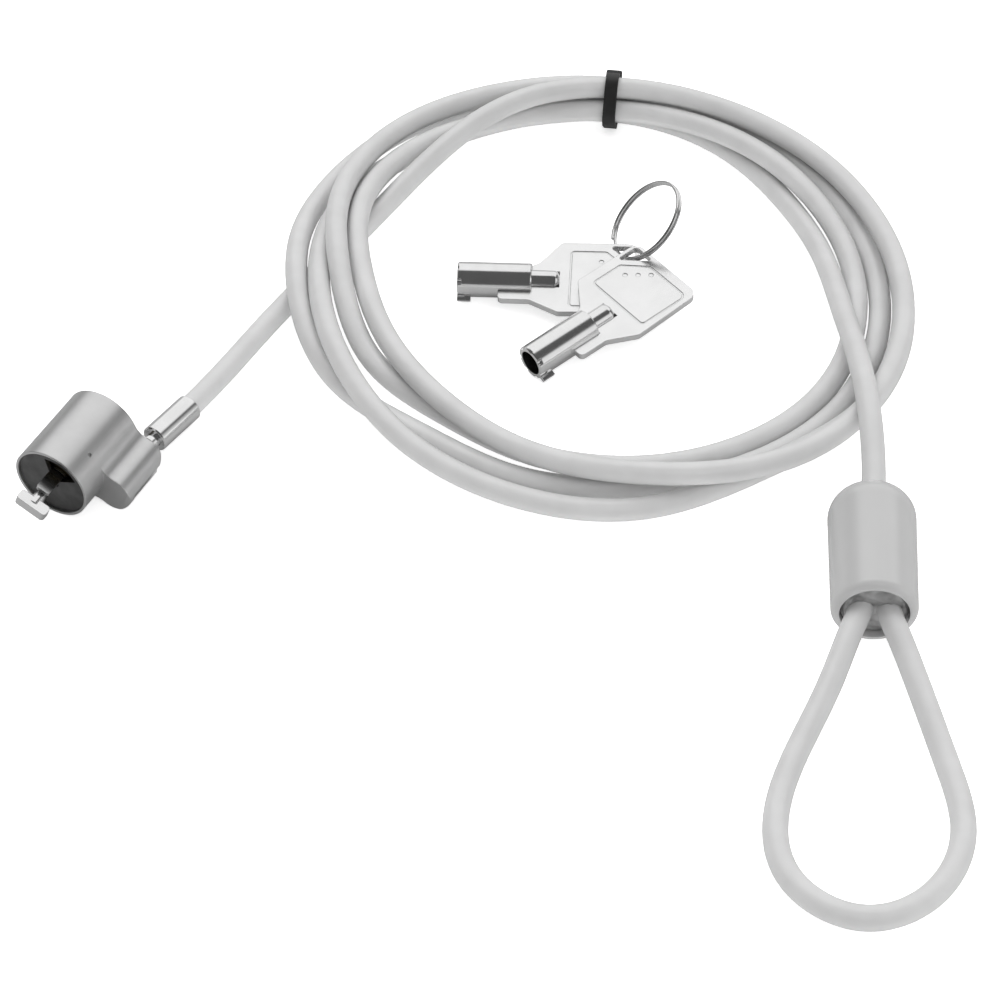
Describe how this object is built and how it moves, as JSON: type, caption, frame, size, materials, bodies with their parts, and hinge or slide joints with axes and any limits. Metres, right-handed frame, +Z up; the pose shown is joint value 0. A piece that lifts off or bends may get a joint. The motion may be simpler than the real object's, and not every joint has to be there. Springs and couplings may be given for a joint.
{
  "type": "laptop cable lock",
  "caption": "Coiled plastic-covered steel cable with an eye loop at one end and a barrel lock with turning T-bar on a swivel at the other, with tubular keys on a split ring.",
  "frame": {"origin": "middle of the footprint (bounding box), on the surface the lock lies on", "axes": "+Z up; +Y away from the end loop, across the coil, along the overall length; +X to the side of the end sleeve"},
  "size_m": [0.1748, 0.2188, 0.0169],
  "materials": {
    "pvc_jacket": "smooth, slightly clouded PVC over the rope",
    "sleeve_plastic": "moulded, glossy",
    "black_nylon": "matt nylon",
    "satin_nickel": "satin nickel plating over die-cast zinc",
    "bright_nickel": "polished nickel plating",
    "key_plate": "stamped, nickel plated, softly bright",
    "dark_plate": "dark grey, fine grain",
    "plain_steel": "plain ground steel",
    "rope_steel": "stranded galvanised wire",
    "crimp_alloy": "rough, pressed",
    "brass": "turned"
  },
  "bodies": {
    "cable": {"cable_jacket": "pvc_jacket", "cable_core": "rope_steel", "cable_ferrule": "bright_nickel", "end_crimp": "crimp_alloy", "end_sleeve": "sleeve_plastic", "cable_tie": "black_nylon"},
    "swivel": {"swivel_link": "bright_nickel"},
    "lock_head": {"lock_housing": "satin_nickel", "pivot_pin": "plain_steel", "keyway_collar": "plain_steel", "pin_stator": "brass", "stator_pin": "plain_steel", "nose_plate": "dark_plate", "stop_pin": "plain_steel"},
    "spindle": {"key_rotor": "brass", "t_bar": "bright_nickel", "spindle_clip": "plain_steel"},
    "key_pin_set": {"key_pins": "brass"},
    "driver_set": {"driver_pins": "plain_steel", "pin_springs": "plain_steel"},
    "ring": {"key_ring": "bright_nickel"},
    "key_1": {"key_1_bow": "key_plate", "key_1_tube": "bright_nickel"},
    "key_2": {"key_2_bow": "key_plate", "key_2_tube": "bright_nickel"}
  },
  "joints": [
    {"name": "cable_swivel", "type": "hinge", "parent": "cable", "child": "swivel", "pos_m": [-0.06217, 0.00236, 0.00405], "axis": [0.55, 0.834, -0.0436], "continuous": true},
    {"name": "head_pivot", "type": "hinge", "parent": "swivel", "child": "lock_head", "pos_m": [-0.06712, -0.00515, 0.00444], "axis": [0.3418, -0.1772, 0.9229], "range_deg": [-5, 70]},
    {"name": "t_bar_turn", "type": "hinge", "parent": "lock_head", "child": "spindle", "pos_m": [-0.0813, -0.01526, 0.00775], "axis": [-0.4602, -0.8878, 0], "range_deg": [0, 90]},
    {"name": "key_pin_travel", "type": "slide", "parent": "spindle", "child": "key_pin_set", "axis": [0.4602, 0.8878, 0], "range_m": [0, 0.001]},
    {"name": "driver_pin_travel", "type": "slide", "parent": "lock_head", "child": "driver_set", "axis": [-0.4602, -0.8878, 0], "range_m": [0, 0.001], "deforming": ["pin_springs"]},
    {"name": "keys_lift", "type": "slide", "parent": "cable", "child": "ring", "axis": [0, 0, 1], "range_m": [0, 0.1]},
    {"name": "key_1_swing", "type": "hinge", "parent": "ring", "child": "key_1", "pos_m": [0.02967, 0.05296, 0.00525], "axis": [-0.0223, -0.0682, 0.9974], "range_deg": [-5, 0]},
    {"name": "key_2_swing", "type": "hinge", "parent": "ring", "child": "key_2", "pos_m": [0.03112, 0.05024, 0.00708], "axis": [-0.0526, -0.0733, 0.9959], "range_deg": [0, 20]}
  ]
}
